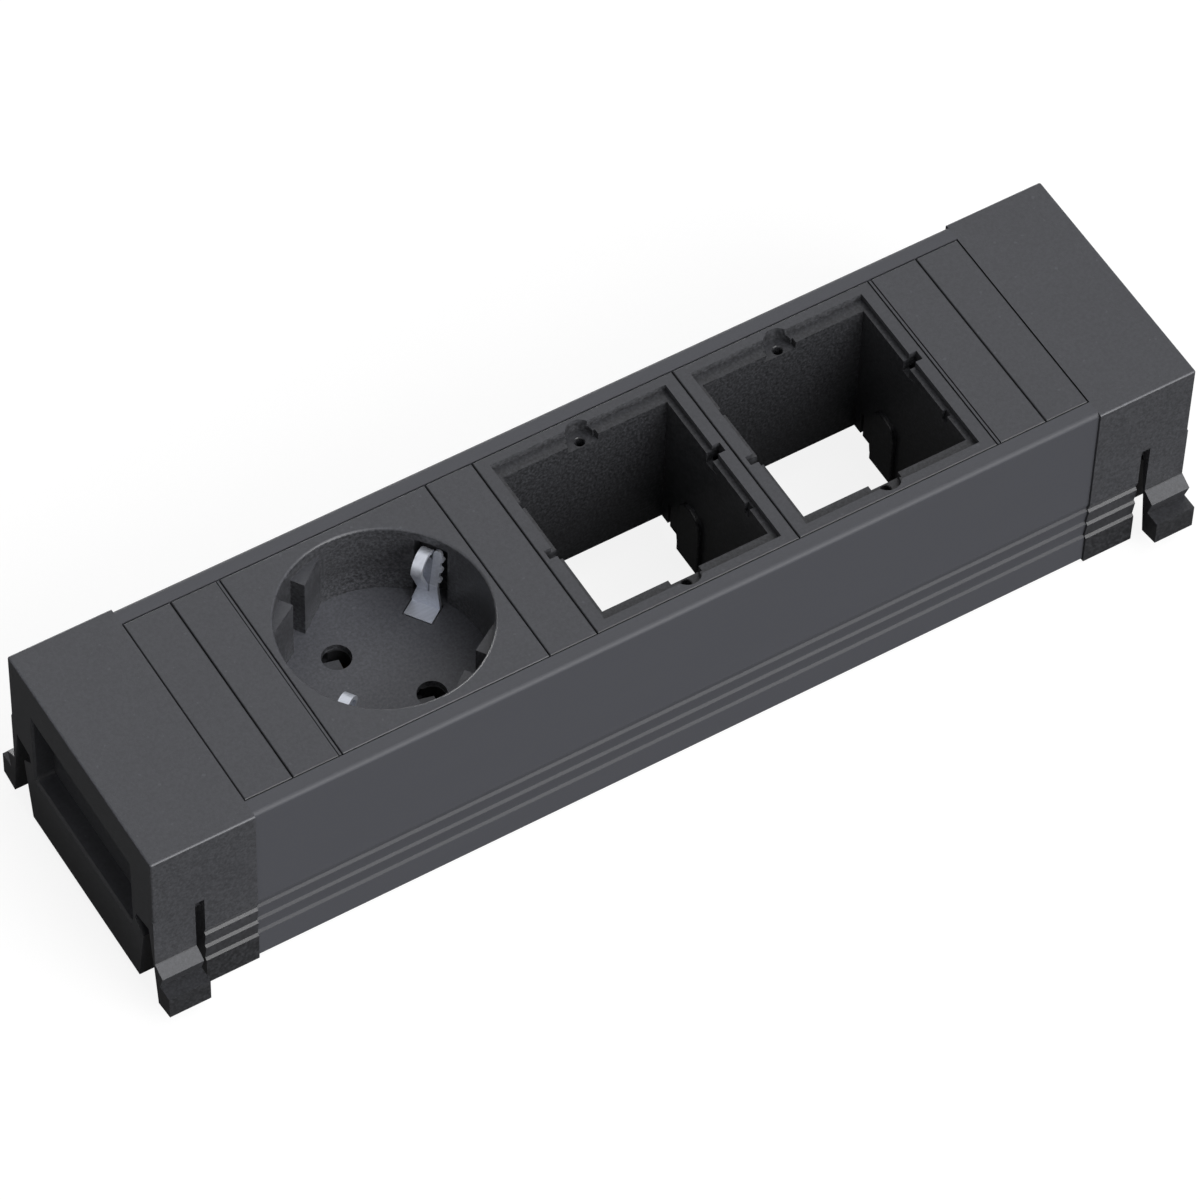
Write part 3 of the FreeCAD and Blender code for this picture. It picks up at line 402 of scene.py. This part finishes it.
def seen_directly(nodes, links, glint):
    """1 for camera rays and rays through glass, and the share glint for rays off gloss."""
    path = nodes.new("ShaderNodeLightPath")
    weaker = nodes.new("ShaderNodeMath")
    weaker.operation = "MULTIPLY"
    weaker.inputs[1].default_value = glint
    links.new(path.outputs["Is Glossy Ray"], weaker.inputs[0])
    total = path.outputs["Is Camera Ray"]
    for share in (weaker.outputs[0], path.outputs["Is Transmission Ray"]):
        larger = nodes.new("ShaderNodeMath")
        larger.operation = "MAXIMUM"
        links.new(total, larger.inputs[0])
        links.new(share, larger.inputs[1])
        total = larger.outputs[0]
    return total


def make_world(strength):
    """Weak even light, seen as plain white."""
    world = bpy.data.worlds.new("studio")
    bpy.context.scene.world = world
    world.use_nodes = True
    nodes = world.node_tree.nodes
    links = world.node_tree.links
    soft = nodes["Background"]
    soft.inputs["Color"].default_value = (1.0, 1.0, 1.0, 1.0)
    soft.inputs["Strength"].default_value = strength
    white = nodes.new("ShaderNodeBackground")
    white.inputs["Strength"].default_value = 1.0
    chosen = nodes.new("ShaderNodeMixShader")
    links.new(seen_directly(nodes, links, SKY_GLINT), chosen.inputs[0])
    links.new(soft.outputs[0], chosen.inputs[1])
    links.new(white.outputs[0], chosen.inputs[2])
    links.new(chosen.outputs[0], nodes["World Output"].inputs["Surface"])


def make_floor(z):
    """Pale floor in the pictures, and a dark one for the light that it throws back on the part."""
    size = FLOOR_HALF_SIDE
    mesh = bpy.data.meshes.new("floor")
    corners = [(-size, -size, z), (size, -size, z), (size, size, z), (-size, size, z)]
    mesh.from_pydata(corners, [], [(0, 1, 2, 3)])
    floor = bpy.data.objects.new("floor", mesh)
    bpy.context.scene.collection.objects.link(floor)
    material = bpy.data.materials.new("floor")
    material.use_nodes = True
    nodes = material.node_tree.nodes
    links = material.node_tree.links
    plain = nodes.new("ShaderNodeBsdfDiffuse")
    plain.inputs["Color"].default_value = (FLOOR_GREY, FLOOR_GREY, FLOOR_GREY, 1.0)
    pale = nodes.new("ShaderNodeBsdfDiffuse")
    pale.inputs["Color"].default_value = (FLOOR_PALE, FLOOR_PALE, FLOOR_PALE, 1.0)
    glow = nodes.new("ShaderNodeEmission")
    glow.inputs["Strength"].default_value = FLOOR_GLOW
    shadowed = nodes.new("ShaderNodeMixShader")
    shadowed.inputs[0].default_value = FLOOR_GLOW_SHARE
    links.new(pale.outputs[0], shadowed.inputs[1])
    links.new(glow.outputs[0], shadowed.inputs[2])
    chosen = nodes.new("ShaderNodeMixShader")
    links.new(seen_directly(nodes, links, FLOOR_GLINT), chosen.inputs[0])
    links.new(plain.outputs[0], chosen.inputs[1])
    links.new(shadowed.outputs[0], chosen.inputs[2])
    links.new(chosen.outputs[0], nodes["Material Output"].inputs["Surface"])
    mesh.materials.append(material)


def make_lamp(name, place, spread, strength):
    """Distant soft light from the direction of a place, so that it is even along the row."""
    data = bpy.data.lights.new(name, "SUN")
    data.angle = math.radians(spread)
    data.energy = strength
    lamp = bpy.data.objects.new(name, data)
    place = Vector(place)
    lamp.rotation_euler = place.to_track_quat("Z", "Y").to_euler()
    lamp.location = place
    bpy.context.scene.collection.objects.link(lamp)


def main():
    bpy.context.scene.view_settings.view_transform = "Standard"
    dress_nodes()
    make_camera()
    make_world(WORLD_LIGHT)
    make_floor(cad_box[0][2] - FLOOR_DROP)
    for name, (place, spread, strength) in LAMPS.items():
        make_lamp(name, place, spread, strength)


main()
